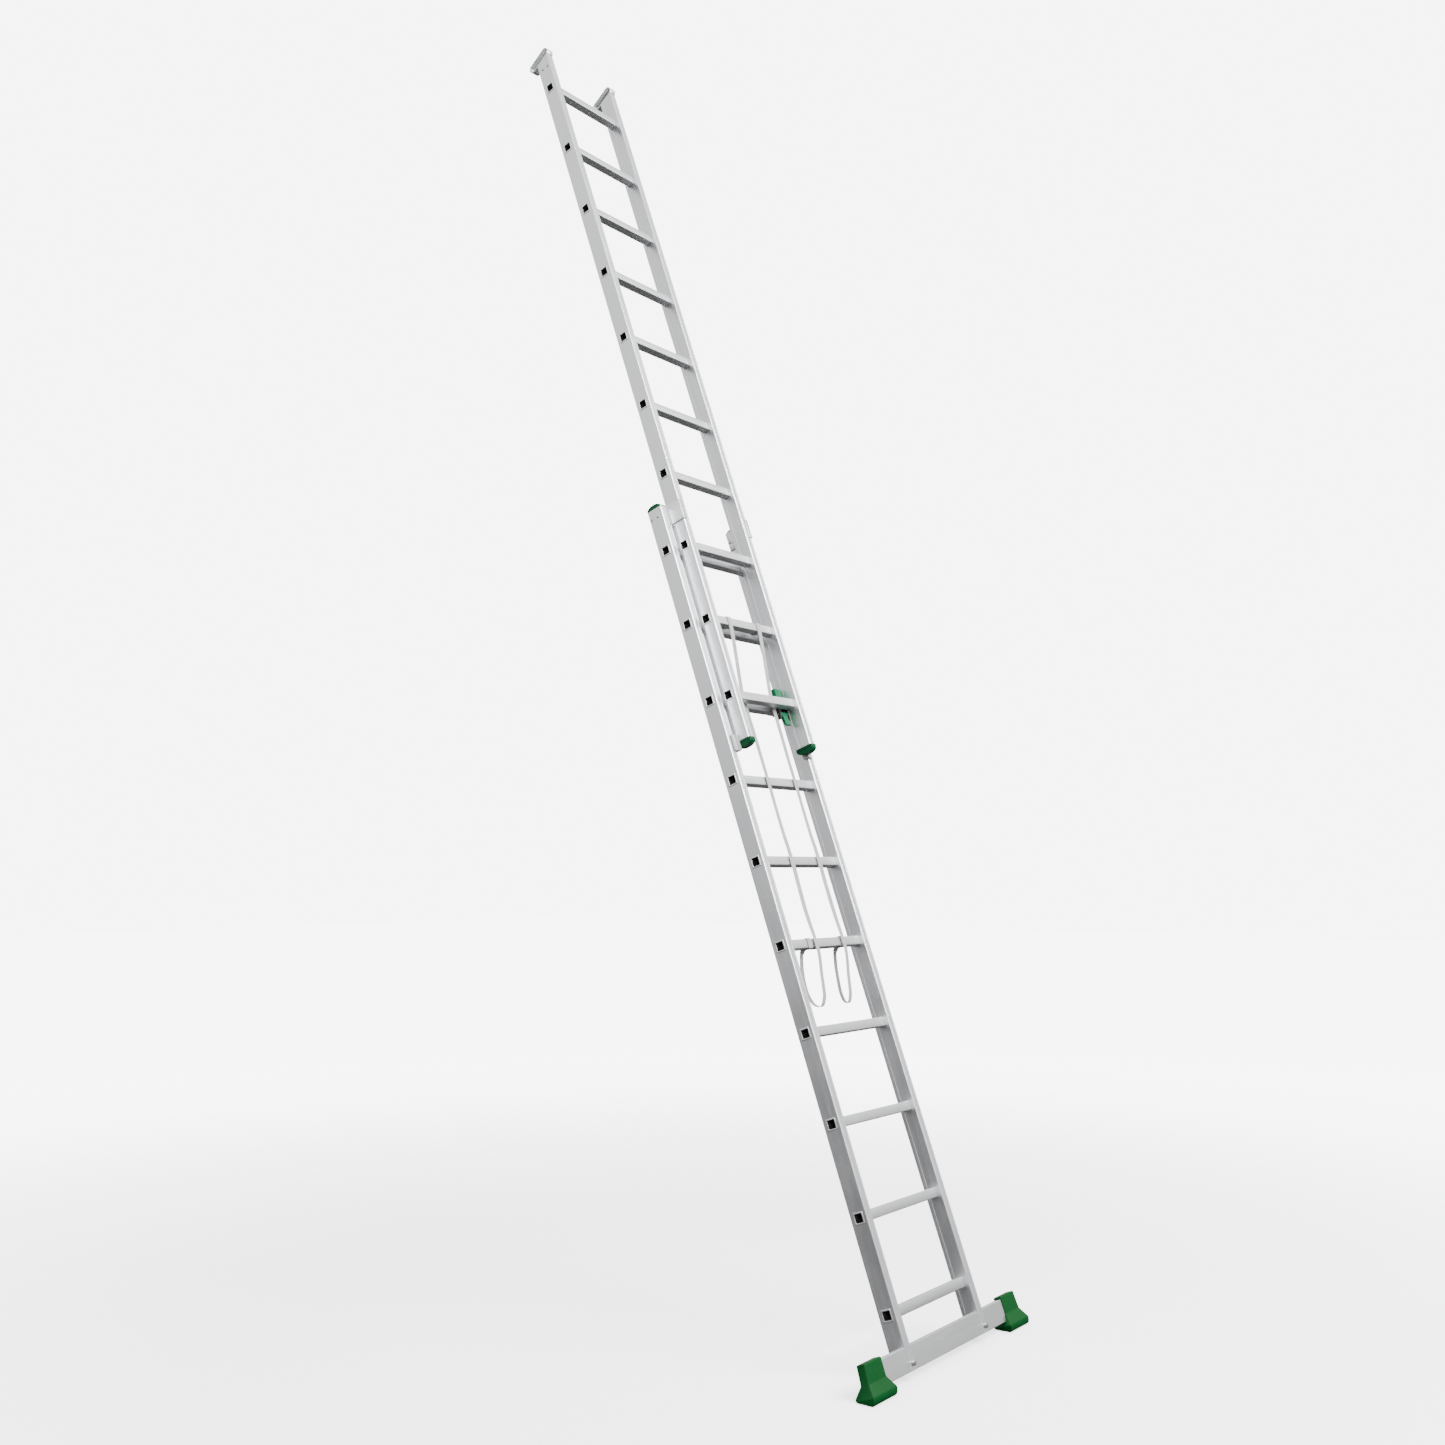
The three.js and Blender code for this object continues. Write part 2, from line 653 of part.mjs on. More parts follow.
function addPair(name, geometry, finish, ending = '') {
  add(`${name}_left${ending}`, mirrored(geometry), finish);
  add(`${name}_right${ending}`, geometry, finish);
}

function numbered(index) {
  return String(index + 1).padStart(2, '0');
}

addPair('base_stile', baseStile(), metal);
addPair('fly_stile', flyStile(), metal);
for (let i = 0; i < rungCount; i += 1) {
  add(`base_rung_${numbered(i)}`, rung(baseWidth, 0, i * rungPitch), metal);
}
for (let i = 0; i < rungCount; i += 1) {
  add(`fly_rung_${numbered(i)}`, rung(flyWidth, flyPlane, flyRise + i * rungPitch), metal);
}
addPair('base_top_cap', baseTopCap(), green);
addPair('fly_bottom_cap', flyBottomCap(), green);
add('stabiliser_bar', stabiliserBar(), metal);
addPair('stabiliser_foot', stabiliserFoot(), green);
addPair('stabiliser_bolt', stabiliserBolt(), zinc);
addPair('guide_bracket', guideBracket(), zinc);
for (const index of [0, 1]) {
  addPair('guide_rivet', guideRivet(index), zinc, `_${index + 1}`);
}
addPair('guide_shoe', guideShoe(), grey);
addPair('wall_rest', wallRest(), metal);
for (const index of [0, 1]) {
  addPair('wall_rest_rivet', restRivet(index), zinc, `_${index + 1}`);
}
addPair('rung_hook', rungHook(), darkMetal);
addPair('hook_pad', hookPad(), green);
addPair('lever_pin', leverPin(), zinc);
addPair('latch_lever', latchLever(), green);
addPair('strap_loop', strapLoop(strapRungX), webbing);
add('strap_left', strap(leftStrapRoute), webbing);
add('strap_right', strap(rightStrapRoute), webbing);

ladder.rotation.x = -lean;
ladder.updateMatrixWorld(true);
const extent = new THREE.Box3().setFromObject(ladder, true);
const centreY = (extent.min.y + extent.max.y) / 2;
ladder.position.set(0, -centreY, -extent.min.z);

const model = new THREE.Group();
model.add(ladder);
model.updateMatrixWorld(true);

export default model;
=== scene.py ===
import math
import bmesh
import bpy
from mathutils import Matrix, Vector


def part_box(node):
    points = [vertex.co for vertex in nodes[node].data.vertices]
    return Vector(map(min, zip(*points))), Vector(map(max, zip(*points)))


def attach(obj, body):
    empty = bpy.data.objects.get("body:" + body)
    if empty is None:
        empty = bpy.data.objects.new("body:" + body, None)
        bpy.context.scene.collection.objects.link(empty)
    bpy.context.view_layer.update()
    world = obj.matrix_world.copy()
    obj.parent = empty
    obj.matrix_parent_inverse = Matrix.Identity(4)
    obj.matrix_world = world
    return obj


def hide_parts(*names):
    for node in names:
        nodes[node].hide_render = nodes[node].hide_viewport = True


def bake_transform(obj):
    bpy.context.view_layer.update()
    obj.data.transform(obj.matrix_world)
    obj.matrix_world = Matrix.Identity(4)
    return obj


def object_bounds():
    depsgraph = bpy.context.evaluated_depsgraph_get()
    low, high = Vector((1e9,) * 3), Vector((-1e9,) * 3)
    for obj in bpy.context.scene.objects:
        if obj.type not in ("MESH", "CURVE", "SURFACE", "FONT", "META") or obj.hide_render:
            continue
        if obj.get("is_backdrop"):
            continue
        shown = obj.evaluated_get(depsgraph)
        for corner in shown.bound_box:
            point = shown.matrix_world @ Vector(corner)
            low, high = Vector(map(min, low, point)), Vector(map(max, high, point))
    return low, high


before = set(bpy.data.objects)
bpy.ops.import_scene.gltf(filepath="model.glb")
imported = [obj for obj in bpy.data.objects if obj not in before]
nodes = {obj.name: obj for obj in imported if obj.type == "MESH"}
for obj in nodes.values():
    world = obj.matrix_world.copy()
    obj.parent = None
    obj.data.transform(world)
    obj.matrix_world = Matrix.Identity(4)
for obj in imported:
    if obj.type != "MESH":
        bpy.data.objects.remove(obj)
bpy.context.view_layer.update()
base = "base_section"
fly = "fly_section"
sides = {"left": -1, "right": 1}

# ---- the ladder's own frame: x along the rungs, y square to them towards the wall, z up the stiles ----
def boxCentre(node):
    low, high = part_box(node)
    return (low + high) / 2


lowestRung = boxCentre("base_rung_01")
upStile = (boxCentre("base_rung_10") - lowestRung).normalized()
ladderToRow = Matrix((
    (1, 0, 0, lowestRung.x),
    (0, upStile.z, upStile.y, lowestRung.y),
    (0, -upStile.y, upStile.z, lowestRung.z),
    (0, 0, 0, 1),
))
rowToLadder = ladderToRow.inverted()
lean = math.atan2(upStile.y, upStile.z)


def ladderBox(node):
    # lowest and highest corner of a CAD node, measured in the ladder's own frame
    spots = [rowToLadder @ v.co for v in nodes[node].data.vertices]
    low = Vector([min(s[i] for s in spots) for i in range(3)])
    high = Vector([max(s[i] for s in spots) for i in range(3)])
    return low, high


# ---- camera ----
cameraSettings = {
    "lens": 37.5, "sensor": 36.0, "place": (-4.152, -3.071, 1.464), "tilt": 95.6, "turn": -53.05,
}


def addCamera():
    data = bpy.data.cameras.new("view")
    data.lens = cameraSettings["lens"]
    data.sensor_width = cameraSettings["sensor"]
    data.clip_end = 200
    camera = bpy.data.objects.new("view", data)
    camera.location = cameraSettings["place"]
    camera.rotation_euler = (math.radians(cameraSettings["tilt"]), 0, math.radians(cameraSettings["turn"]))
    bpy.context.scene.collection.objects.link(camera)
    bpy.context.scene.camera = camera


addCamera()
print("camera placed")


# ---- working habits: one piece active, everything else left alone ----
def deselectAll():
    if bpy.context.mode != "OBJECT":
        bpy.ops.object.mode_set(mode="OBJECT")
    bpy.ops.object.select_all(action="DESELECT")


def makeActive(piece):
    deselectAll()
    piece.select_set(True)
    bpy.context.view_layer.objects.active = piece


def editFaces(piece):
    makeActive(piece)
    bpy.ops.object.mode_set(mode="EDIT")
    bpy.ops.mesh.select_mode(type="FACE")
    bpy.ops.mesh.select_all(action="DESELECT")


def pickFaces(piece, wanted):
    # selects the faces whose centre and normal pass the test, and says how many there are
    bpy.ops.mesh.select_all(action="DESELECT")
    work = bmesh.from_edit_mesh(piece.data)
    count = 0
    for face in work.faces:
        if wanted(face.calc_center_median(), face.normal):
            face.select_set(True)
            count += 1
    work.select_flush(True)
    bmesh.update_edit_mesh(piece.data)
    return count


def pushFaces(x, y, z):
    bpy.ops.mesh.extrude_region_move(TRANSFORM_OT_translate={"value": (x, y, z)})


def resizeFaces(x, y, z, centre):
    bpy.ops.transform.resize(value=(x, y, z), center_override=centre)


def bevelEdges(piece, width, segments=2, angle=30):
    bevel = piece.modifiers.new("bevel", "BEVEL")
    bevel.width = width
    bevel.segments = segments
    bevel.limit_method = "ANGLE"
    bevel.angle_limit = math.radians(angle)
    bevel.use_clamp_overlap = True
    makeActive(piece)
    bpy.ops.object.modifier_apply(modifier="bevel")
    bpy.ops.object.shade_smooth_by_angle(angle=math.radians(angle + 5))


def cubeFrom(name, low, high):
    low, high = Vector(low), Vector(high)
    deselectAll()
    bpy.ops.mesh.primitive_cube_add(size=1, location=(low + high) / 2, scale=high - low)
    piece = bpy.context.object
    piece.name = name
    bpy.ops.object.transform_apply(location=True, rotation=True, scale=True)
    return piece


def cutOut(piece, cutters, operation="DIFFERENCE"):
    for cutter in cutters:
        boolean = piece.modifiers.new("cut", "BOOLEAN")
        boolean.operation = operation
        boolean.solver = "EXACT"
        boolean.object = cutter
        makeActive(piece)
        bpy.ops.object.modifier_apply(modifier="cut")
        bpy.data.objects.remove(cutter)


def joinPieces(name, pieces):
    deselectAll()
    for piece in pieces:
        piece.select_set(True)
    bpy.context.view_layer.objects.active = pieces[0]
    if len(pieces) > 1:
        bpy.ops.object.join()
    pieces[0].name = name
    return pieces[0]


def cadCopy(node, name):
    # a merged copy of a CAD node, laid out in the ladder's frame, with its flat faces made whole
    piece = bpy.data.objects.new(name, nodes[node].data.copy())
    bpy.context.scene.collection.objects.link(piece)
    piece.data.transform(rowToLadder)
    makeActive(piece)
    bpy.ops.object.mode_set(mode="EDIT")
    bpy.ops.mesh.select_all(action="SELECT")
    bpy.ops.mesh.remove_doubles(threshold=0.00002)
    bpy.ops.mesh.dissolve_limited(angle_limit=math.radians(1.5))
    bpy.ops.mesh.normals_make_consistent(inside=False)
    bpy.ops.object.mode_set(mode="OBJECT")
    return piece


def ownCopy(piece, name, offset=(0, 0, 0)):
    twin = bpy.data.objects.new(name, piece.data.copy())
    twin.data.transform(Matrix.Translation(Vector(offset)))
    bpy.context.scene.collection.objects.link(twin)
    return twin


def finishPiece(piece, body, slot, replaced=(), material=None):
    # from the ladder's frame to the shared frame, onto its body, with its finish
    piece.data.transform(ladderToRow)
    finish = material or materials[slot]
    if piece.data.materials:
        piece.data.materials[0] = finish
    else:
        piece.data.materials.append(finish)
    if replaced:
        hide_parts(*replaced)
    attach(piece, body)
    return piece


# ---- shader groups ----
def newGroup(name, inputs, outputs):
    group = bpy.data.node_groups.new(name, "ShaderNodeTree")
    for label, kind, value in inputs:
        socket = group.interface.new_socket(name=label, in_out="INPUT", socket_type="NodeSocket" + kind)
        if value is not None:
            socket.default_value = value
    for label, kind in outputs:
        group.interface.new_socket(name=label, in_out="OUTPUT", socket_type="NodeSocket" + kind)
    return group, group.nodes.new("NodeGroupInput"), group.nodes.new("NodeGroupOutput")


def addNoise(tree, scale, detail, vector):
    noise = tree.nodes.new("ShaderNodeTexNoise")
    noise.inputs["Scale"].default_value = scale
    noise.inputs["Detail"].default_value = detail
    tree.links.new(vector, noise.inputs["Vector"])
    return noise.outputs["Fac"]


def addMapping(tree, vector, scale=(1, 1, 1), turn=(0, 0, 0)):
    mapping = tree.nodes.new("ShaderNodeMapping")
    mapping.inputs["Scale"].default_value = scale
    mapping.inputs["Rotation"].default_value = turn
    tree.links.new(vector, mapping.inputs["Vector"])
    return mapping.outputs["Vector"]


def mapRange(tree, value, fromLow, fromHigh, toLow, toHigh):
    node = tree.nodes.new("ShaderNodeMapRange")
    limits = {"From Min": fromLow, "From Max": fromHigh, "To Min": toLow, "To Max": toHigh}
    for label, number in limits.items():
        if isinstance(number, (int, float)):
            node.inputs[label].default_value = number
        else:
            tree.links.new(number, node.inputs[label])
    tree.links.new(value, node.inputs["Value"])
    return node.outputs["Result"]


def mathNode(tree, operation, first, second):
    node = tree.nodes.new("ShaderNodeMath")
    node.operation = operation
    for index, value in enumerate((first, second)):
        if isinstance(value, (int, float)):
            node.inputs[index].default_value = value
        else:
            tree.links.new(value, node.inputs[index])
    return node.outputs["Value"]


def mixColour(tree, amount, first, second, blend="MIX"):
    node = tree.nodes.new("ShaderNodeMix")
    node.data_type = "RGBA"
    node.blend_type = blend
    for label, value in ((0, amount), (6, first), (7, second)):
        if isinstance(value, (int, float, tuple)):
            node.inputs[label].default_value = value
        else:
            tree.links.new(value, node.inputs[label])
    return node.outputs[2]


def makeDrawnGrain():
    # fine lines left by the die along an extrusion, with broad dull and bright patches and a few scuffs
    group, given, result = newGroup(
        "drawnGrain",
        [("Vector", "Vector", None), ("Colour", "Color", (0.8, 0.8, 0.8, 1)),
         ("Dull Colour", "Color", (0.6, 0.6, 0.6, 1)),
         ("Roughness", "Float", 0.35), ("Grain", "Float", 0.3), ("Scuffs", "Float", 0.3)],
        [("Colour", "Color"), ("Roughness", "Float"), ("Height", "Float")],
    )
    lines = addNoise(group, 900, 3, addMapping(group, given.outputs["Vector"], (1, 1, 0.012)))
    streaks = addNoise(group, 120, 2, addMapping(group, given.outputs["Vector"], (1, 1, 0.02)))
    patches = addNoise(group, 5, 4, given.outputs["Vector"])
    scuffVector = addMapping(group, given.outputs["Vector"], (1, 1, 0.25), (0.5, 0.3, 0.2))
    scuffLines = addNoise(group, 70, 5, scuffVector)
    scuffSpots = mapRange(group, scuffLines, 0.60, 0.66, 0, 1)
    scuffMask = mathNode(group, "MULTIPLY", scuffSpots, given.outputs["Scuffs"])
    streakPart = mathNode(group, "MULTIPLY", streaks, 0.6)
    patchPart = mathNode(group, "MULTIPLY", patches, 0.4)
    tone = mathNode(group, "ADD", streakPart, patchPart)
    shade = mathNode(group, "MULTIPLY", mapRange(group, tone, 0.35, 0.65, 0, 1), given.outputs["Grain"])
    colour = mixColour(group, shade, given.outputs["Colour"], given.outputs["Dull Colour"])
    scuffShare = mathNode(group, "MULTIPLY", scuffMask, 0.5)
    colour = mixColour(group, scuffShare, colour, given.outputs["Dull Colour"])
    rough = mathNode(group, "ADD", given.outputs["Roughness"], mapRange(group, tone, 0.3, 0.7, -0.07, 0.09))
    rough = mathNode(group, "ADD", rough, mathNode(group, "MULTIPLY", scuffMask, 0.12))
    height = mathNode(group, "ADD", lines, mathNode(group, "MULTIPLY", scuffMask, -0.6))
    group.links.new(colour, result.inputs["Colour"])
    group.links.new(rough, result.inputs["Roughness"])
    group.links.new(height, result.inputs["Height"])
    return group


def makeMouldSkin():
    # the fine spark-eroded skin of a moulding, a slow change of tone and a little dust in scattered spots
    group, given, result = newGroup(
        "mouldSkin",
        [("Vector", "Vector", None), ("Colour", "Color", (0.1, 0.4, 0.2, 1)),
         ("Pale Colour", "Color", (0.2, 0.5, 0.3, 1)),
         ("Dust Colour", "Color", (0.5, 0.5, 0.45, 1)), ("Roughness", "Float", 0.5), ("Dust", "Float", 0.1)],
        [("Colour", "Color"), ("Roughness", "Float"), ("Height", "Float")],
    )
    skin = addNoise(group, 1400, 2, given.outputs["Vector"])
    tone = addNoise(group, 28, 4, given.outputs["Vector"])
    spots = addNoise(group, 260, 3, given.outputs["Vector"])
    paleShare = mapRange(group, tone, 0.35, 0.75, 0, 0.55)
    colour = mixColour(group, paleShare, given.outputs["Colour"], given.outputs["Pale Colour"])
    dustMask = mathNode(group, "MULTIPLY", mapRange(group, spots, 0.56, 0.72, 0, 1), given.outputs["Dust"])
    colour = mixColour(group, dustMask, colour, given.outputs["Dust Colour"])
    rough = mathNode(group, "ADD", given.outputs["Roughness"], mapRange(group, tone, 0.3, 0.7, -0.05, 0.08))
    rough = mathNode(group, "ADD", rough, mathNode(group, "MULTIPLY", dustMask, 0.4))
    group.links.new(colour, result.inputs["Colour"])
    group.links.new(rough, result.inputs["Roughness"])
    group.links.new(skin, result.inputs["Height"])
    return group


def makeWebWeave():
    # narrow webbing: yarns crossing at one pitch both ways, with fuzz and worn patches; where the weave is
    # low the colour goes to a dark gap colour, painted shade between the yarns, and the worn patches are
    # darkened towards the same colour
    group, given, result = newGroup(
        "webWeave",
        [("Vector", "Vector", None), ("Yarn", "Color", (0.6, 0.6, 0.6, 1)),
         ("Weave Shade", "Color", (0.3, 0.3, 0.3, 1)),
         ("Pitch", "Float", 0.0016)],
        [("Colour", "Color"), ("Roughness", "Float"), ("Height", "Float")],
    )
    parts = group.nodes.new("ShaderNodeSeparateXYZ")
    group.links.new(given.outputs["Vector"], parts.inputs["Vector"])

    def wave(value, shift):
        yarns = mathNode(group, "DIVIDE", value, given.outputs["Pitch"])
        turns = mathNode(group, "MULTIPLY", yarns, 2 * math.pi)
        return mathNode(group, "SINE", mathNode(group, "ADD", turns, shift), 0)

    across = wave(parts.outputs["X"], 0)
    along = wave(parts.outputs["Y"], 0)
    cross = mathNode(group, "MULTIPLY", across, along)
    height = mapRange(group, cross, -1, 1, 0, 1)
    fuzz = addNoise(group, 900, 3, given.outputs["Vector"])
    wear = addNoise(group, 18, 3, given.outputs["Vector"])
    heightPart = mathNode(group, "MULTIPLY", height, 0.6)
    fuzzPart = mathNode(group, "MULTIPLY", fuzz, 0.4)
    shade = mathNode(group, "ADD", heightPart, fuzzPart)
    # low places of the weave take the dark gap colour: painted shade between the yarns
    colour = mixColour(group, shade, given.outputs["Weave Shade"], given.outputs["Yarn"])
    colour = mixColour(group, mapRange(group, wear, 0.45, 0.7, 0, 0.35), colour, given.outputs["Weave Shade"])
    group.links.new(colour, result.inputs["Colour"])
    group.links.new(mapRange(group, fuzz, 0, 1, 0.75, 0.95), result.inputs["Roughness"])
    group.links.new(height, result.inputs["Height"])
    return group


drawnGrain = makeDrawnGrain()
mouldSkin = makeMouldSkin()
webWeave = makeWebWeave()


# ---- materials ----
def newMaterial(name, group, coordinate, turn, values, bumpDistance, bumpStrength, plain):
    material = bpy.data.materials.new(name)
    material.use_nodes = True
    tree = material.node_tree
    shader = tree.nodes["Principled BSDF"]
    for label, value in plain.items():
        shader.inputs[label].default_value = value
    place = tree.nodes.new("ShaderNodeTexCoord")
    vector = addMapping(tree, place.outputs[coordinate], (1, 1, 1), turn)
    effect = tree.nodes.new("ShaderNodeGroup")
    effect.node_tree = group
    tree.links.new(vector, effect.inputs["Vector"])
    for label, value in values.items():
        effect.inputs[label].default_value = value
    bump = tree.nodes.new("ShaderNodeBump")
    bump.inputs["Strength"].default_value = bumpStrength
    bump.inputs["Distance"].default_value = bumpDistance
    tree.links.new(effect.outputs["Colour"], shader.inputs["Base Color"])
    tree.links.new(effect.outputs["Roughness"], shader.inputs["Roughness"])
    tree.links.new(effect.outputs["Height"], bump.inputs["Height"])
    tree.links.new(bump.outputs["Normal"], shader.inputs["Normal"])
    return material


def metalMaterial(name, colour, dull, roughness, grain, scuffs, alongRung=False, metallic=1.0):
    # the grain runs up the stiles, or along x on rungs and the bar
    turn = (0, math.pi / 2, 0) if alongRung else (lean, 0, 0)
    return newMaterial(
        name, drawnGrain, "Object", turn,
        {"Colour": (*colour, 1), "Dull Colour": (*dull, 1), "Roughness": roughness, "Grain": grain,
         "Scuffs": scuffs},
        0.0001, 0.25, {"Metallic": metallic},
    )


def mouldMaterial(name, colour, pale, roughness, dust, coat=0.0):
    return newMaterial(
        name, mouldSkin, "Object", (0, 0, 0),
        {"Colour": (*colour, 1), "Pale Colour": (*pale, 1), "Roughness": roughness, "Dust": dust},
        0.00015, 0.3,
        {"Metallic": 0.0, "Specular IOR Level": 0.12, "Coat Weight": coat, "Coat Roughness": 0.25},
    )


materials = {
    "stile_aluminium": metalMaterial(
        "stile aluminium", (0.83, 0.84, 0.86), (0.66, 0.67, 0.69), 0.36, 0.5, 0.3,
    ),
    "rung_aluminium": metalMaterial(
        "rung aluminium", (0.80, 0.81, 0.82), (0.6, 0.61, 0.62), 0.4, 0.6, 0.5, True,
    ),
    "bar_aluminium": metalMaterial(
        "bar aluminium", (0.76, 0.77, 0.78), (0.58, 0.59, 0.6), 0.42, 0.6, 0.5, True,
    ),
    # plated steel for bolts, pins and rivets: the grey is partly its own and partly painted shade, set darker
    # so the rivets read as shaded
    "plated_steel": metalMaterial("plated steel darkened for shade", (0.5, 0.5, 0.5), (0.3, 0.3, 0.3), 0.26, 0.4, 0.4),
    "black_steel": metalMaterial(
        "black steel", (0.02, 0.02, 0.022), (0.05, 0.05, 0.05), 0.45, 0.6, 0.6, False, 0.2,
    ),
    "green_cap_plastic": mouldMaterial(
        "green cap plastic", (0.0, 0.050, 0.016), (0.0, 0.075, 0.026), 0.40, 0.02, 0.05,
    ),
    "latch_plastic": mouldMaterial(
        "latch plastic", (0.0, 0.105, 0.040), (0.0, 0.14, 0.055), 0.38, 0.01, 0.08,
    ),
    "foot_rubber": mouldMaterial("foot rubber", (0.0, 0.050, 0.008), (0.0, 0.064, 0.012), 0.55, 0.01),
    "grey_plastic": mouldMaterial("grey plastic", (0.42, 0.43, 0.44), (0.52, 0.53, 0.54), 0.5, 0.1),
    # the webbing's dark gap colour is painted shade in the hollows of the weave
    "webbing": newMaterial(
        "grey webbing", webWeave, "UV", (0, 0, 0),
        {"Yarn": (0.58, 0.58, 0.57, 1), "Weave Shade": (0.24, 0.24, 0.24, 1), "Pitch": 0.0016},
        0.0003, 0.6, {"Metallic": 0.0, "Sheen Weight": 0.25},
    ),
}
print("materials ready:", len(materials))


# ---- webbing: straps, the loops they hang from and their anchors ----
strapSettings = {
    "width": 0.020, "thickness": 0.0016, "perSpan": 6, "loopSlack": 0.0011, "twist": 0.1,
    "rungHalf": 0.015, "stitchPitch": 0.0034, "stitchLength": 0.0022, "stitchThickness": 0.0007,
    "loopCorner": 0.003, "tailDrop": 0.022,
}
# the routes of the two straps in the ladder's frame, from the fly section's second rung down to the anchor
strapRoutes = {
    "left": [
        (-0.084, -0.0662, 2.227), (-0.084, -0.062, 2.190), (-0.084, -0.050, 2.110), (-0.083, -0.037, 2.030),
        (-0.082, -0.031, 1.990), (-0.077, -0.0265, 1.945), (-0.069, -0.0225, 1.860), (-0.064, -0.0196, 1.760),
        (-0.063, -0.019, 1.710),
        (-0.063, -0.019, 1.650), (-0.062, -0.0175, 1.600), (-0.062, -0.017, 1.540), (-0.062, -0.0175, 1.480),
        (-0.062, -0.019, 1.440), (-0.062, -0.019, 1.372), (-0.063, -0.0175, 1.320), (-0.065, -0.017, 1.270),
        (-0.066, -0.017, 1.230), (-0.065, -0.018, 1.180), (-0.064, -0.0194, 1.150), (-0.064, -0.020, 1.095),
        (-0.064, -0.015, 1.060), (-0.065, -0.007, 1.020), (-0.065, 0.000, 0.980), (-0.066, 0.008, 0.945),
        (-0.070, 0.024, 0.922), (-0.078, 0.042, 0.930), (-0.085, 0.052, 0.962), (-0.088, 0.052, 1.005),
        (-0.092, 0.043, 1.050), (-0.096, 0.031, 1.082), (-0.098, 0.024, 1.097),
    ],
    "right": [
        (0.084, -0.0662, 2.227), (0.084, -0.062, 2.190), (0.084, -0.050, 2.110), (0.085, -0.037, 2.030),
        (0.086, -0.031, 1.990), (0.091, -0.0265, 1.945), (0.095, -0.0225, 1.860), (0.097, -0.0196, 1.760),
        (0.098, -0.019, 1.710),
        (0.098, -0.019, 1.650), (0.099, -0.0175, 1.600), (0.099, -0.017, 1.540), (0.099, -0.0175, 1.480),
        (0.099, -0.019, 1.440), (0.099, -0.019, 1.372), (0.099, -0.0175, 1.320), (0.099, -0.017, 1.270),
        (0.099, -0.017, 1.230), (0.099, -0.018, 1.180), (0.099, -0.0194, 1.150), (0.099, -0.020, 1.095),
        (0.099, -0.014, 1.060), (0.098, -0.004, 1.020), (0.098, 0.005, 0.980), (0.098, 0.014, 0.945),
        (0.097, 0.028, 0.923), (0.096, 0.040, 0.930), (0.096, 0.046, 0.958), (0.097, 0.043, 1.000),
        (0.098, 0.037, 1.045), (0.099, 0.029, 1.080), (0.099, 0.024, 1.096),
    ],
}


def smoothRoute(points, perSpan):
    # a centripetal spline through the points
    points = [Vector(p) for p in points]
    padded = [2 * points[0] - points[1], *points, 2 * points[-1] - points[-2]]
    route = []
    for four in zip(padded, padded[1:], padded[2:], padded[3:]):
        knots = [0.0]
        for first, second in zip(four, four[1:]):
            knots.append(knots[-1] + math.sqrt((second - first).length))

        def between(first, second, low, high, t):
            return first + (second - first) * ((t - knots[low]) / (knots[high] - knots[low]))

        for step in range(perSpan):
            t = knots[1] + (knots[2] - knots[1]) * step / perSpan
            one = [between(four[i], four[i + 1], i, i + 1, t) for i in range(3)]
            two = [between(one[i], one[i + 1], i, i + 2, t) for i in range(2)]
            route.append(between(two[0], two[1], 1, 2, t))
    route.append(points[-1])
    return route


def ribbon(name, route, width, thickness, twist=0.0):
    # a flat band with soft selvedges swept along the route, its width lying along x
    half, thin = width / 2, thickness / 2
    rim = thickness * 0.6
    section = [
        (-half, -thin * 0.5), (-half + rim, -thin), (0, -thin), (half - rim, -thin), (half, -thin * 0.5),
        (half, thin * 0.5), (half - rim, thin), (0, thin), (-half + rim, thin), (-half, thin * 0.5),
    ]
    count = len(section)
    spots, runs, travelled = [], [], 0.0
    for index, point in enumerate(route):
        ahead = route[min(index + 1, len(route) - 1)]
        behind = route[max(index - 1, 0)]
        tangent = (ahead - behind).normalized()
        across = (Vector((1, 0, 0)) - tangent * tangent.x).normalized()
        face = tangent.cross(across)
        share = index / (len(route) - 1)
        turn = twist * math.sin(math.pi * share) * math.sin(5 * math.pi * share)
        if index:
            travelled += (point - route[index - 1]).length
        runs.append(travelled)
        for a, b in section:
            u = a * math.cos(turn) - b * math.sin(turn)
            v = a * math.sin(turn) + b * math.cos(turn)
            spots.append(point + across * u + face * v)
    faces, uvs = [], []
    for ring in range(len(route) - 1):
        for side in range(count):
            following = (side + 1) % count
            start, end = ring * count, (ring + 1) * count
            faces.append((start + side, start + following, end + following, end + side))
            u0, u1 = section[side][0] + half, section[following][0] + half
            uvs.append(((u0, runs[ring]), (u1, runs[ring]), (u1, runs[ring + 1]), (u0, runs[ring + 1])))
    last = (len(route) - 1) * count
    faces.append(tuple(reversed(range(count))))
    uvs.append(tuple((section[i][0] + half, 0) for i in reversed(range(count))))
    faces.append(tuple(last + i for i in range(count)))
    uvs.append(tuple((section[i][0] + half, runs[-1]) for i in range(count)))
    mesh = bpy.data.meshes.new(name)
    mesh.from_pydata([tuple(s) for s in spots], [], faces)
    layer = mesh.uv_layers.new(name="webbing")
    for polygon, corners in zip(mesh.polygons, uvs):
        for loop, corner in zip(polygon.loop_indices, corners):
            layer.data[loop].uv = corner
    piece = bpy.data.objects.new(name, mesh)
    bpy.context.scene.collection.objects.link(piece)
    makeActive(piece)
    bpy.ops.object.mode_set(mode="EDIT")
    bpy.ops.mesh.select_all(action="SELECT")
    bpy.ops.mesh.normals_make_consistent(inside=False)
    bpy.ops.object.mode_set(mode="OBJECT")
    bpy.ops.object.shade_smooth_by_angle(angle=math.radians(50))
    return piece


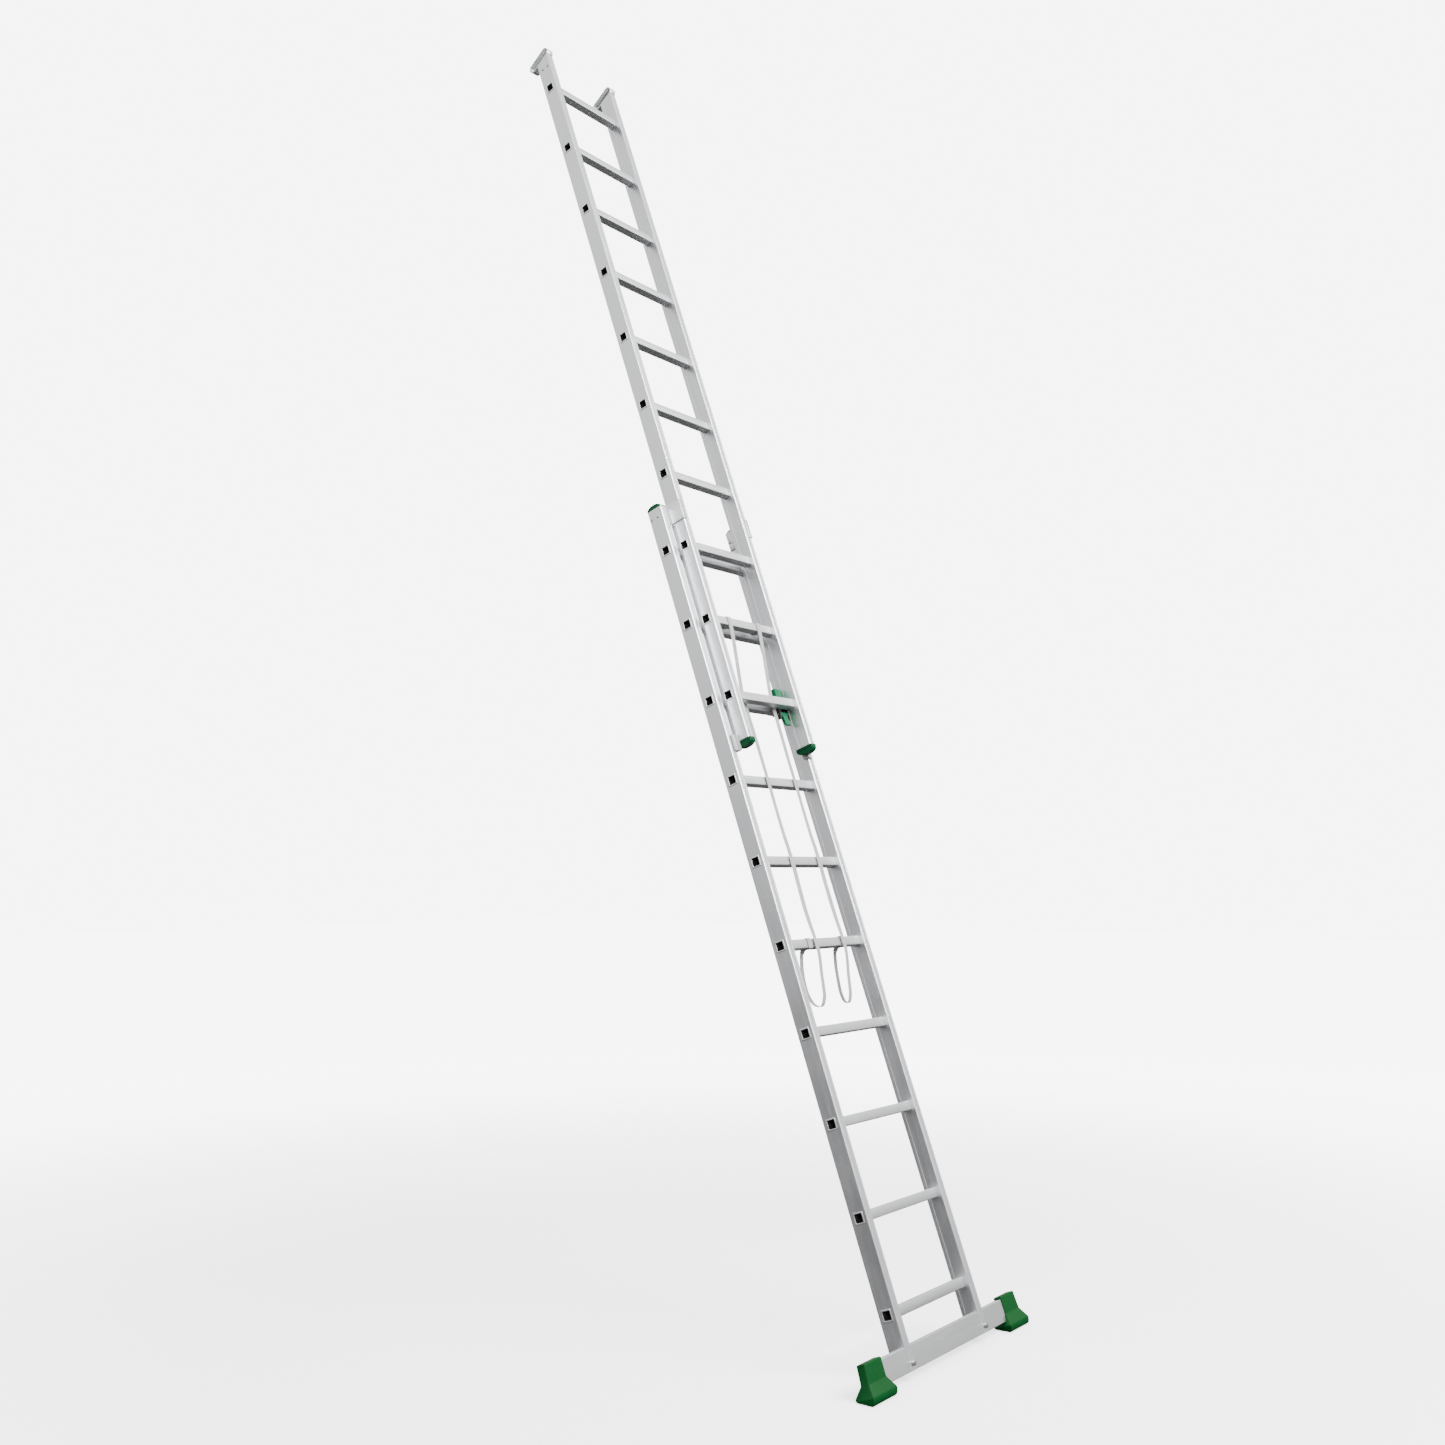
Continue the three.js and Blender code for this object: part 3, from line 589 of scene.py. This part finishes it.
def rungLoop(name, x, centreY, centreZ, rungHalf, tailSpots):
    # webbing taken once round a rung, both ends laid together as a sewn tail
    reach = rungHalf + strapSettings["loopSlack"] + strapSettings["thickness"] / 2
    corner = strapSettings["loopCorner"]
    sideToTail = 1 if tailSpots[0][0] > centreY else -1
    around = []
    for cornerY, cornerZ, first in ((1, 1, 0), (-1, 1, 90), (-1, -1, 180)):
        for step in range(5):
            angle = math.radians(first + 90 * step / 4)
            y = (reach - corner) * cornerY + corner * math.cos(angle)
            z = (reach - corner) * cornerZ + corner * math.sin(angle)
            around.append((y * sideToTail, z))
    rise = (reach * 0.75) * sideToTail
    spots = [tailSpots[0], (centreY + reach * sideToTail, centreZ - reach * 0.7)]
    spots += [(centreY + y, centreZ + z) for y, z in around]
    spots += [(centreY + rise, centreZ - reach), tailSpots[1]]
    route = smoothRoute([(x, y, z) for y, z in spots], 3)
    return ribbon(name, route, strapSettings["width"], strapSettings["thickness"])


def stitchRows(name, x, start, end, lift):
    # three rows of thread across a sewn tail, each stitch a small rounded bar standing on the webbing
    pieces = []
    start, end = Vector((0, *start)), Vector((0, *end))
    for row in (0.25, 0.5, 0.75):
        spot = start.lerp(end, row)
        for step in (-2, -1, 0, 1, 2):
            middle = Vector((x + step * strapSettings["stitchPitch"], spot.y + lift, spot.z))
            thick = strapSettings["stitchThickness"]
            size = Vector((strapSettings["stitchLength"], thick, thick)) / 2
            stitch = cubeFrom("stitch", middle - size, middle + size)
            pieces.append(stitch)
    joined = joinPieces(name, pieces)
    bevelEdges(joined, 0.0002, 2)
    return joined


def makeStrap(side):
    points = smoothRoute(strapRoutes[side], strapSettings["perSpan"])
    strap = ribbon("webbing_strap_" + side, points, strapSettings["width"], strapSettings["thickness"],
                   strapSettings["twist"])
    strap.data.transform(ladderToRow)
    strap.data.materials.append(materials["webbing"])
    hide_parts("strap_" + side)
    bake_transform(strap)
    return strap


def makeStrapEnds(side):
    rungHalf = strapSettings["rungHalf"]
    flyLow, flyHigh = ladderBox("strap_loop_" + side)
    x = (flyLow.x + flyHigh.x) / 2
    rungY = (flyLow.y + flyHigh.y) / 2
    rungZ = (flyLow.z + flyHigh.z) / 2
    top = strapRoutes[side][0]
    tailZ = top[2] - strapSettings["tailDrop"]
    tail = [(top[1] + 0.0018, tailZ), (top[1] + 0.0036, tailZ)]
    loop = rungLoop("sewn_loop_" + side, x, rungY, rungZ, rungHalf, tail)
    finishPiece(loop, fly, "webbing", ["strap_loop_" + side])
    firstRow = (top[1], top[2] - 0.002)
    lastRow = (top[1] + 0.0021, top[2] - 0.021)
    thread = stitchRows("loop_stitching_" + side, x, firstRow, lastRow, -0.0006)
    finishPiece(thread, fly, "webbing", material=threadMaterial)
    foot = strapRoutes[side][-1]
    low, high = ladderBox("base_rung_05")
    anchorTail = [(foot[1] + 0.0012, foot[2] + 0.001), (foot[1] - 0.0022, foot[2] - 0.002)]
    middleY, middleZ = (low.y + high.y) / 2, (low.z + high.z) / 2
    anchor = rungLoop("sewn_anchor_" + side, foot[0], middleY, middleZ, rungHalf, anchorTail)
    finishPiece(anchor, base, "webbing")


# the thread's dark gap colour is painted shade in the hollows of the weave
threadMaterial = newMaterial(
    "stitching thread", webWeave, "Object", (0, 0, 0),
    {"Yarn": (0.75, 0.75, 0.73, 1), "Weave Shade": (0.4, 0.4, 0.4, 1), "Pitch": 0.0006},
    0.0001, 0.5, {"Metallic": 0.0},
)
for side in sides:
    makeStrap(side)
    makeStrapEnds(side)
print("straps laid")


# ---- rungs ----
rungSettings = {
    "size": 0.030, "wall": 0.002, "corner": 0.0022, "lipWidth": 0.003, "lipDepth": 0.0012, "ribs": 5,
    "ribDepth": 0.0007, "ribShare": 0.62, "swageLength": 0.011, "boreDepth": 0.12,
}


def makeRung(name, node):
    # a square tube, ribbed on its tread and underside between the stiles, with flared lips outside them
    s = rungSettings
    low, high = ladderBox(node)
    half = s["size"] / 2
    stile = ladderBox("base_stile_right" if node.startswith("base") else "fly_stile_right")
    outer = stile[1].x + 0.0003
    inner = stile[0].x
    piece = cubeFrom(name, (-outer, -half, -half), (outer, half, half))
    editFaces(piece)
    bpy.ops.mesh.select_all(action="DESELECT")
    work = bmesh.from_edit_mesh(piece.data)
    for edge in work.edges:  # the four long corners
        if abs(edge.verts[0].co.x - edge.verts[1].co.x) > outer:
            edge.select_set(True)
    bmesh.update_edit_mesh(piece.data)
    bpy.ops.mesh.select_mode(type="EDGE")
    bpy.ops.mesh.bevel(offset=s["corner"], segments=3, affect="EDGES")
    bpy.ops.mesh.select_mode(type="FACE")
    for x in (-inner, -inner + s["swageLength"], inner - s["swageLength"], inner):
        bpy.ops.mesh.select_all(action="SELECT")
        bpy.ops.mesh.bisect(plane_co=(x, 0, 0), plane_no=(1, 0, 0))
    pitch = (s["size"] - 2 * s["corner"]) / s["ribs"]
    ribEdges = []
    for rib in range(s["ribs"]):
        middle = (rib - (s["ribs"] - 1) / 2) * pitch
        ribEdges += [middle - pitch * s["ribShare"] / 2, middle + pitch * s["ribShare"] / 2]
    span = inner - s["swageLength"]
    flat = half - s["corner"] - 0.0002
    for y in ribEdges:
        pickFaces(piece, lambda c, n: abs(n.z) > 0.99 and abs(c.x) < span)
        bpy.ops.mesh.bisect(plane_co=(0, y, 0), plane_no=(0, 1, 0))
    for direction in (1, -1):
        pickFaces(piece, lambda c, n: n.z * direction > 0.99 and abs(c.x) < span and abs(c.y) < flat
                  and not any(low < c.y < high for low, high in zip(ribEdges[::2], ribEdges[1::2])))
        pushFaces(0, 0, -direction * s["ribDepth"])
    for direction in (1, -1):
        flareEnd(piece, direction, outer)
    bpy.ops.object.mode_set(mode="OBJECT")
    bevelEdges(piece, 0.00025, 1, 40)
    for face in piece.data.polygons:  # the faces inside the bore get a near-black material: painted shade in the tube's hollow
        c = face.center
        inShadedBore = max(abs(c.y), abs(c.z)) < half - 0.0018 and inner - 0.1 < abs(c.x) < outer - 0.0003
        face.material_index = int(inShadedBore)
    return piece


def flareEnd(piece, direction, outer):
    # the tube's end turned out into a lip, then the bore pushed in through it
    s = rungSettings
    half = s["size"] / 2
    centre = (direction * outer, 0, 0)
    pickFaces(piece, lambda c, n: n.x * direction > 0.99 and c.x * direction > outer - 0.0001)
    pushFaces(0, 0, 0)
    grow = (half + s["lipWidth"]) / half
    resizeFaces(1, grow, grow, centre)
    pushFaces(direction * s["lipDepth"] * 0.6, 0, 0)
    pushFaces(direction * s["lipDepth"] * 0.4, 0, 0)
    resizeFaces(1, 0.965, 0.965, centre)
    bore = (half - s["wall"]) / (half + s["lipWidth"]) / 0.965
    pushFaces(0, 0, 0)
    resizeFaces(1, bore * 1.07, bore * 1.07, centre)
    pushFaces(-direction * s["lipDepth"], 0, 0)
    resizeFaces(1, 1 / 1.07, 1 / 1.07, centre)
    pushFaces(-direction * s["boreDepth"], 0, 0)


# near-black metal for the faces inside each rung's bore: painted shade in the tube's hollow, not a colour the
# aluminium has
paintedShadeBoreMaterial = metalMaterial(
    "rung bore painted shade", (0.03, 0.03, 0.032), (0.015, 0.015, 0.016), 0.7, 0.6, 0.3, True, 0.3,
)
rungMasters = {
    "base": makeRung("rung_master_base", "base_rung_01"),
    "fly": makeRung("rung_master_fly", "fly_rung_01"),
}
rungCount = sum(1 for name in nodes if name.startswith("base_rung_"))
for section, body in (("base", base), ("fly", fly)):
    for number in range(1, rungCount + 1):
        node = f"{section}_rung_{number:02d}"
        low, high = ladderBox(node)
        place = (0, (low.y + high.y) / 2, (low.z + high.z) / 2)
        rung = ownCopy(rungMasters[section], f"ribbed_{node}", place)
        finishPiece(rung, body, "rung_aluminium", [node])
        rung.data.materials.append(paintedShadeBoreMaterial)
    bpy.data.objects.remove(rungMasters[section])
print("rungs made:", 2 * rungCount)


# ---- fasteners ----
def softenFastener(node, name, body, width):
    piece = cadCopy(node, name)
    bevelEdges(piece, width, 3)
    finishPiece(piece, body, "plated_steel", [node])


for side in sides:
    softenFastener(f"stabiliser_bolt_{side}", f"hex_bolt_{side}", base, 0.0009)
    softenFastener(f"lever_pin_{side}", f"hook_pin_{side}", fly, 0.0007)
    for index in (1, 2):
        softenFastener(f"guide_rivet_{side}_{index}", f"domed_guide_rivet_{side}_{index}", base, 0.0013)
        softenFastener(f"wall_rest_rivet_{side}_{index}", f"domed_rest_rivet_{side}_{index}", fly, 0.0013)
print("fasteners made")


# ---- green end caps ----
capSettings = {
    "edge": 0.0016, "grooveEdge": 0.0011, "grooveCount": 3, "grooveDepth": 0.0009, "grooveWidth": 0.0016,
    "groovePitch": 0.007,
}


def makeTopCap(side):
    node = "base_top_cap_" + side
    piece = cadCopy(node, "domed_cap_" + side)
    bevelEdges(piece, capSettings["edge"], 3)
    finishPiece(piece, base, "green_cap_plastic", [node])


def makeBottomCap(side):
    node = "fly_bottom_cap_" + side
    piece = cadCopy(node, "rounded_cap_" + side)
    low, high = ladderBox(node)
    middle = (low.y + high.y) / 2
    cutters = []
    for step in range(-capSettings["grooveCount"], capSettings["grooveCount"] + 1):
        y = middle + step * capSettings["groovePitch"]
        half = capSettings["grooveWidth"] / 2
        cutters.append(cubeFrom("groove", (low.x - 0.01, y - half, low.z - 0.01),
                                (high.x + 0.01, y + half, low.z + capSettings["grooveDepth"])))
    cutOut(piece, cutters)
    bevelEdges(piece, capSettings["grooveEdge"], 3)
    finishPiece(piece, fly, "green_cap_plastic", [node])


for side in sides:
    makeTopCap(side)
    makeBottomCap(side)
print("caps made")


# ---- stabiliser feet ----
footSettings = {"edge": 0.0028, "treads": 6, "treadWidth": 0.004, "treadDepth": 0.003}


def makeFoot(side):
    s = footSettings
    node = "stabiliser_foot_" + side
    low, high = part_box(node)
    piece = cadCopy(node, "rubber_foot_" + side)
    piece.data.transform(ladderToRow)
    bevelEdges(piece, s["edge"], 3, 25)
    cutters = []
    for step in range(s["treads"]):  # tread grooves across the sole, front to back
        x = low.x + (high.x - low.x) * (step + 0.75) / (s["treads"] + 0.5)
        half = s["treadWidth"] / 2
        cutters.append(cubeFrom("tread", (x - half, low.y - 0.01, low.z - 0.01),
                                (x + half, high.y + 0.01, low.z + s["treadDepth"])))
    cutOut(piece, cutters)
    makeActive(piece)
    bpy.ops.object.shade_smooth_by_angle(angle=math.radians(32))
    piece.data.transform(rowToLadder)
    finishPiece(piece, base, "foot_rubber", [node])


for side in sides:
    makeFoot(side)
print("feet made")


# ---- guides, wall rests and hooks ----
def makeFromCad(node, name, body, slot, width, segments=2, angle=30):
    piece = cadCopy(node, name)
    bevelEdges(piece, width, segments, angle)
    return finishPiece(piece, body, slot, [node])


def makeLipRivet(side):
    # a small flat rivet on the lip that holds the fly section's stile
    low, high = ladderBox("guide_bracket_" + side)
    x = (low.x if side == "right" else high.x) + sides[side] * 0.0095
    deselectAll()
    bpy.ops.mesh.primitive_cylinder_add(vertices=20, radius=0.0028, depth=0.0016,
                                        location=(x, low.y - 0.0006, low.z + 0.047),
                                        rotation=(math.pi / 2, 0, 0))
    rivet = bpy.context.object
    bpy.ops.object.transform_apply(location=True, rotation=True, scale=True)
    rivet.name = "lip_rivet_" + side
    editFaces(rivet)
    pickFaces(rivet, lambda c, n: n.y < -0.9)
    bpy.ops.mesh.inset(thickness=0.0011, depth=0.0003)
    bpy.ops.object.mode_set(mode="OBJECT")
    bevelEdges(rivet, 0.0003, 2)
    finishPiece(rivet, base, "plated_steel")


def makeLever(side):
    node = "latch_lever_" + side
    piece = cadCopy(node, "safety_lever_" + side)
    bevelEdges(piece, 0.0012, 3)
    low, high = ladderBox(node)
    middle = (low.x + high.x) / 2
    grips = []
    for step in range(4):  # finger ribs on the handle's front
        z = low.z + 0.008 + step * 0.005
        y = low.y + 0.0002 + step * 0.0007
        grips.append(cubeFrom("grip", (middle - 0.010, y, z - 0.0009),
                              (middle + 0.010, y + 0.004, z + 0.0009)))
    grip = joinPieces("lever_grip_" + side, grips)
    bevelEdges(grip, 0.0006, 2)
    finishPiece(piece, "lever_" + side, "latch_plastic", [node])
    finishPiece(grip, "lever_" + side, "latch_plastic")


for side in sides:
    makeFromCad(f"guide_bracket_{side}", f"folded_guide_{side}", base, "stile_aluminium", 0.0007)
    makeLipRivet(side)
    makeFromCad(f"guide_shoe_{side}", f"guide_block_{side}", fly, "grey_plastic", 0.0012, 3)
    makeFromCad(f"wall_rest_{side}", f"wall_loop_{side}", fly, "bar_aluminium", 0.0008)
    makeFromCad(f"rung_hook_{side}", f"steel_hook_{side}", fly, "black_steel", 0.0008)
    makeFromCad(f"hook_pad_{side}", f"hook_block_{side}", fly, "latch_plastic", 0.0018, 3)
    makeLever(side)
print("guides, rests and hooks made")


# ---- CAD nodes that stay ----
for name, node in nodes.items():
    if node.hide_render:
        continue
    slotName = "bar_aluminium" if name == "stabiliser_bar" else "stile_aluminium"
    node.data.materials.clear()
    node.data.materials.append(materials[slotName])
    print("kept from the frame:", name)


# ---- stage: floor, light and surroundings ----
stageSettings = {"floorSize": 60, "floorColour": (0.93, 0.93, 0.93, 1), "floorMirror": 0.045, "backdrop": 7.0,
                 "nearGlow": 1.7, "farGlow": 6.2, "nearRadius": 1.3, "farRadius": 7.0,
                 "skyTop": 1.35, "skySide": 1.0, "skyLow": 0.06}


def makeFloor():
    deselectAll()
    bpy.ops.mesh.primitive_plane_add(size=stageSettings["floorSize"], location=(0, 0, -0.0005))
    floor = bpy.context.object
    floor.name = "studio_floor"
    material = bpy.data.materials.new("studio floor")
    material.use_nodes = True
    tree = material.node_tree
    tree.nodes.remove(tree.nodes["Principled BSDF"])
    diffuse = tree.nodes.new("ShaderNodeBsdfDiffuse")
    diffuse.inputs["Color"].default_value = stageSettings["floorColour"]
    dim = tree.nodes.new("ShaderNodeBsdfDiffuse")
    mirror = stageSettings["floorMirror"]
    dim.inputs["Color"].default_value = (mirror, mirror, mirror, 1)
    glow = tree.nodes.new("ShaderNodeEmission")
    place = tree.nodes.new("ShaderNodeTexCoord")
    # the floor's glow grows away from the ladder, into the backdrop
    reach = tree.nodes.new("ShaderNodeVectorMath")
    reach.operation = "LENGTH"
    tree.links.new(place.outputs["Object"], reach.inputs[0])
    spread = tree.nodes.new("ShaderNodeMapRange")
    spread.interpolation_type = "SMOOTHSTEP"
    limits = {"From Min": "nearRadius", "From Max": "farRadius", "To Min": "nearGlow", "To Max": "farGlow"}
    for label, key in limits.items():
        spread.inputs[label].default_value = stageSettings[key]
    tree.links.new(reach.outputs["Value"], spread.inputs["Value"])
    tree.links.new(spread.outputs["Result"], glow.inputs["Strength"])
    lit = tree.nodes.new("ShaderNodeAddShader")
    tree.links.new(diffuse.outputs[0], lit.inputs[0])
    tree.links.new(glow.outputs[0], lit.inputs[1])
    path = tree.nodes.new("ShaderNodeLightPath")
    mix = tree.nodes.new("ShaderNodeMixShader")
    tree.links.new(path.outputs["Is Camera Ray"], mix.inputs[0])
    tree.links.new(dim.outputs[0], mix.inputs[1])
    tree.links.new(lit.outputs[0], mix.inputs[2])
    tree.links.new(mix.outputs[0], tree.nodes["Material Output"].inputs["Surface"])
    floor.data.materials.append(material)
    floor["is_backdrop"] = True


def makeSky():
    world = bpy.data.worlds.new("studio")
    bpy.context.scene.world = world
    world.use_nodes = True
    tree = world.node_tree
    background = tree.nodes["Background"]
    place = tree.nodes.new("ShaderNodeTexCoord")
    parts = tree.nodes.new("ShaderNodeSeparateXYZ")
    tree.links.new(place.outputs["Generated"], parts.inputs["Vector"])
    low = mapRange(tree, parts.outputs["Z"], -0.3, 0.15, stageSettings["skyLow"], stageSettings["skySide"])
    rise = stageSettings["skyTop"] - stageSettings["skySide"]
    high = mapRange(tree, parts.outputs["Z"], 0.15, 0.9, 0, rise)
    lightOnly = mathNode(tree, "ADD", low, high)
    path = tree.nodes.new("ShaderNodeLightPath")
    strength = mapRange(tree, path.outputs["Is Camera Ray"], 0, 1, lightOnly, stageSettings["backdrop"])
    tree.links.new(strength, background.inputs["Strength"])
    background.inputs["Color"].default_value = (1, 1, 1, 1)


def addSoftbox(name, place, aim, size, power):
    data = bpy.data.lights.new(name, "AREA")
    data.shape = "RECTANGLE"
    data.size, data.size_y = size
    data.energy = power
    light = bpy.data.objects.new(name, data)
    light.location = place
    light.rotation_euler = (Vector(aim) - Vector(place)).to_track_quat("-Z", "Y").to_euler()
    bpy.context.scene.collection.objects.link(light)


makeFloor()
makeSky()
addSoftbox("front softbox", (0.6, -5.0, 6.0), (0, 0, 2.2), (4, 4), 1150)
addSoftbox("side softbox", (-6.5, -0.5, 4.5), (0, 0, 3.0), (4, 4), 330)
addSoftbox("rear softbox", (2.5, 5.0, 5.0), (0, 0, 2.2), (3, 3), 150)
print("stage ready")

low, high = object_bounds()
